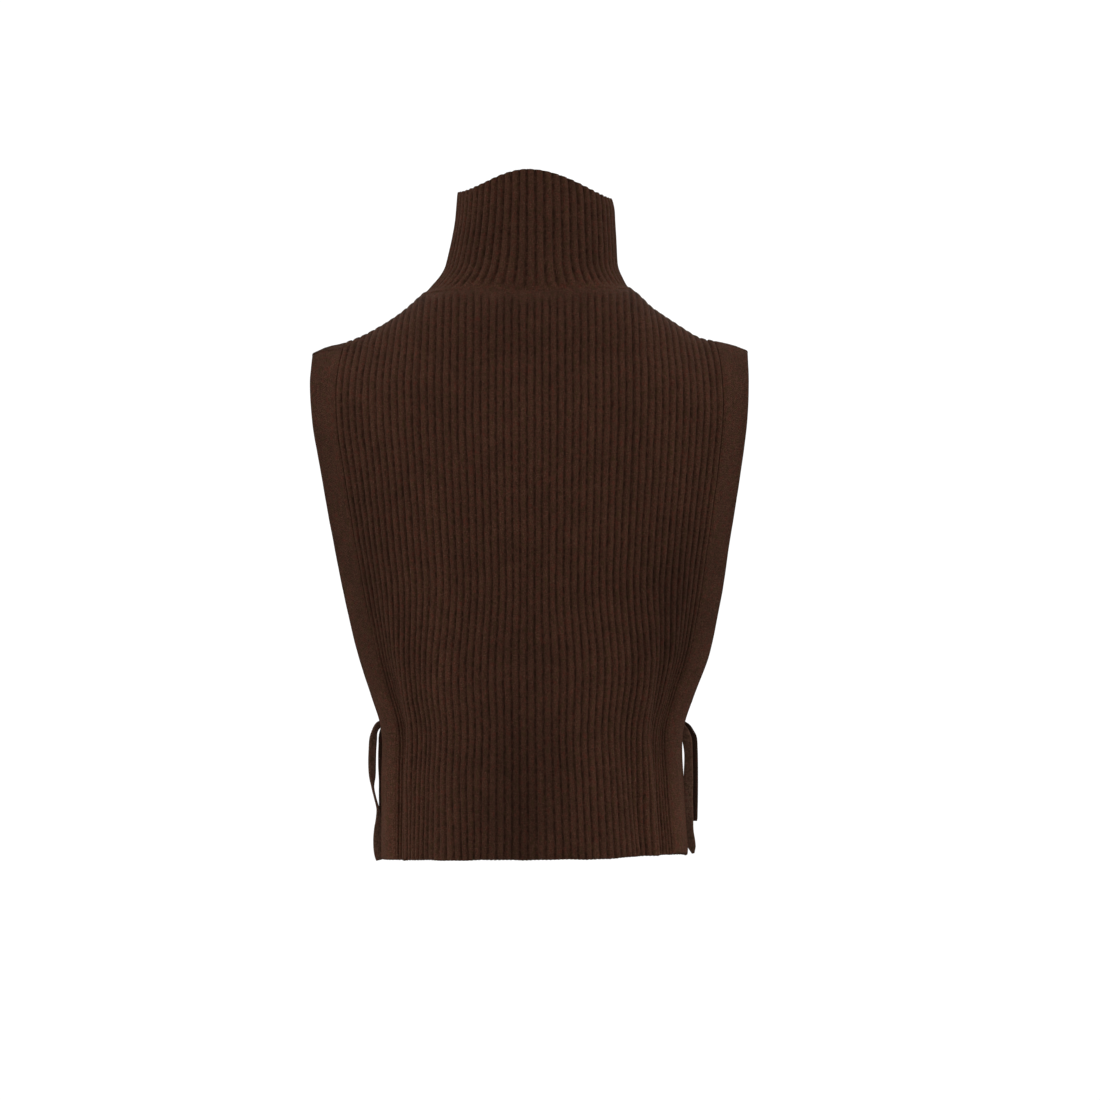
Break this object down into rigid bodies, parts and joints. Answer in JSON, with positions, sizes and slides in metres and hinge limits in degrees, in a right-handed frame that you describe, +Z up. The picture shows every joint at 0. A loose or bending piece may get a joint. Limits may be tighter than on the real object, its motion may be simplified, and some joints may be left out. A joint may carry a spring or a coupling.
{
  "type": "sleeveless high-neck rib-knit pullover with open banded sides and waist ties",
  "caption": "Hollow worn form of a sleeveless ribbed wool pullover with a high collar, plain bands down its open sides, and ties at the waist.",
  "frame": {"origin": "on the body's midline between the shoulders, at the height of the neck's root, where the wearer carries the garment", "axes": "+Z up, -Y towards the garment's front, +X towards the wearer's left"},
  "size_m": [0.4389, 0.2356, 0.6894],
  "materials": {
    "rib_knit": "matte dark brown wool, ribbed",
    "plain_knit": "matte dark brown wool, plain knit",
    "tie_knit": "matte dark brown wool, narrow knitted strap"
  },
  "bodies": {
    "root": {"back_panel": "rib_knit", "front_panel": "rib_knit", "collar": "rib_knit", "band_back_left": "plain_knit", "band_back_right": "plain_knit", "band_front_left": "plain_knit", "band_front_right": "plain_knit", "tie_back_left": "tie_knit", "tie_back_right": "tie_knit", "tie_front_left": "tie_knit", "tie_front_right": "tie_knit", "knot_left": "tie_knit", "knot_right": "tie_knit"}
  },
  "joints": []
}
